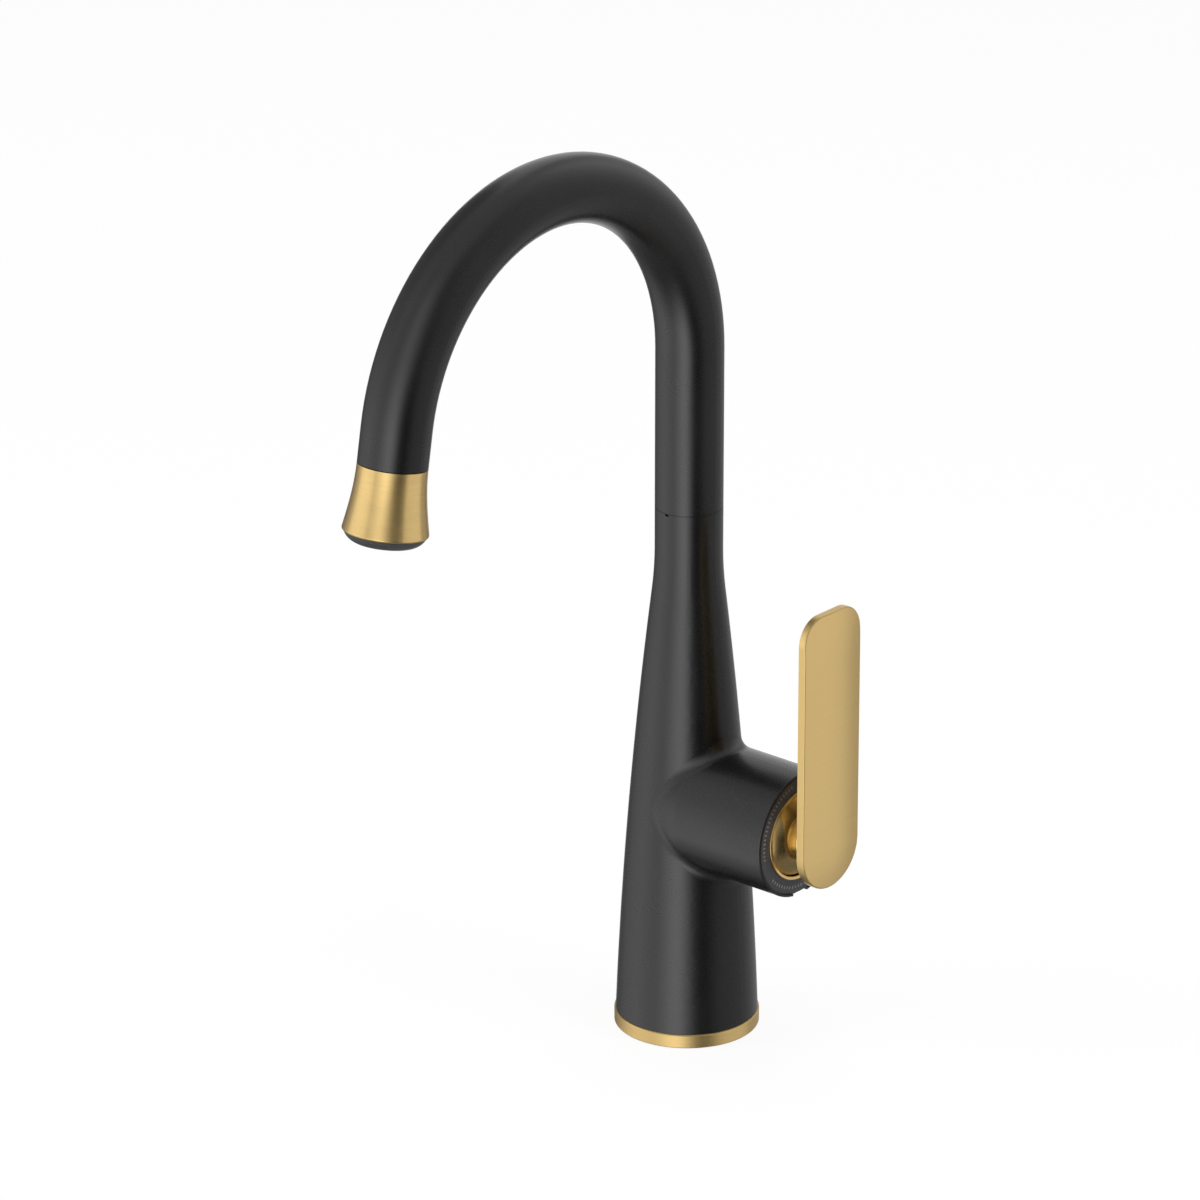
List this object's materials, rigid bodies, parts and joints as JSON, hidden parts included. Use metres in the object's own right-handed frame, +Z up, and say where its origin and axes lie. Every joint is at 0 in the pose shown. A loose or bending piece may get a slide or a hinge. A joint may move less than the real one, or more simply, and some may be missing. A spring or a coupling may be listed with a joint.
{
  "type": "pull-down bar faucet",
  "caption": "Deck-mounted bar faucet with a swivelling gooseneck, a docked pull-down spray head on a hose and a side lever that tilts for flow and turns for temperature.",
  "frame": {"origin": "centre of the base ring's underside, on the deck's top face", "axes": "+Z up the column, the spout reaches along -Y, the valve arm and lever stand out along +X"},
  "size_m": [0.0922, 0.1967, 0.393],
  "materials": {
    "satin_black": "satin black coating on brass",
    "brushed_gold": "brushed gold",
    "polished_gold": "polished gold",
    "dark_plastic": "matt dark grey moulding",
    "white_acetal": "moulded acetal",
    "raw_brass": "turned, uncoated",
    "steel": "stainless",
    "magnet": "sintered ferrite",
    "ceramic": "lapped alumina",
    "rubber": "nitrile or silicone rubber",
    "hose_braid": "braided nylon over an inner tube"
  },
  "bodies": {
    "faucet_body": {"base_ring": "brushed_gold", "deck_gasket": "rubber", "mounting_shank": "raw_brass", "body_casting": "satin_black", "neck_bushing": "white_acetal", "swivel_washer": "dark_plastic", "cartridge_base": "white_acetal", "port_seals": "rubber", "fixed_disc": "ceramic", "cartridge_shell": "white_acetal", "retaining_nut": "raw_brass", "trim_ring": "dark_plastic", "bezel": "polished_gold"},
    "spout": {"spout_tube": "satin_black", "swivel_journal": "raw_brass", "swivel_rings": "rubber", "snap_ring": "steel", "dock_collar": "dark_plastic", "dock_magnet": "magnet", "spray_hose": "hose_braid"},
    "spray_head": {"spray_shell": "brushed_gold", "spray_core": "dark_plastic", "neck_ring": "rubber", "hose_ferrule": "steel", "magnet_keeper": "steel", "nozzle_face": "dark_plastic", "aerator": "steel", "nozzle_tips": "rubber"},
    "turret": {"turret": "white_acetal", "pivot_pin": "steel"},
    "sliding_disc": {"moving_disc": "ceramic", "disc_carrier": "white_acetal"},
    "lever": {"lever_stem": "raw_brass", "lever_hub": "polished_gold", "lever_screw": "steel", "lever_paddle": "brushed_gold"}
  },
  "joints": [
    {"name": "spout_swivel", "type": "hinge", "parent": "faucet_body", "child": "spout", "pos_m": [0, 0, 0.1974], "axis": [0, 0, 1], "range_deg": [-180, 180]},
    {"name": "spray_pull", "type": "slide", "parent": "spout", "child": "spray_head", "axis": [0, -0.1736, -0.9848], "range_m": [0, 0.2], "deforming": ["spray_hose"]},
    {"name": "temperature_turn", "type": "hinge", "parent": "faucet_body", "child": "turret", "pos_m": [0.038, 0, 0.0868], "axis": [1, 0, 0], "range_deg": [-45, 45]},
    {"name": "lever_flow", "type": "hinge", "parent": "turret", "child": "lever", "pos_m": [0.038, 0, 0.0868], "axis": [0, 1, 0], "range_deg": [0, 22]},
    {"name": "disc_slide", "type": "slide", "parent": "turret", "child": "sliding_disc", "axis": [0, 0, 1], "range_m": [0, 0.0049]}
  ],
  "couplings": [
    {"joint": "disc_slide", "follows": "lever_flow", "m_per_rad": 0.01268}
  ]
}
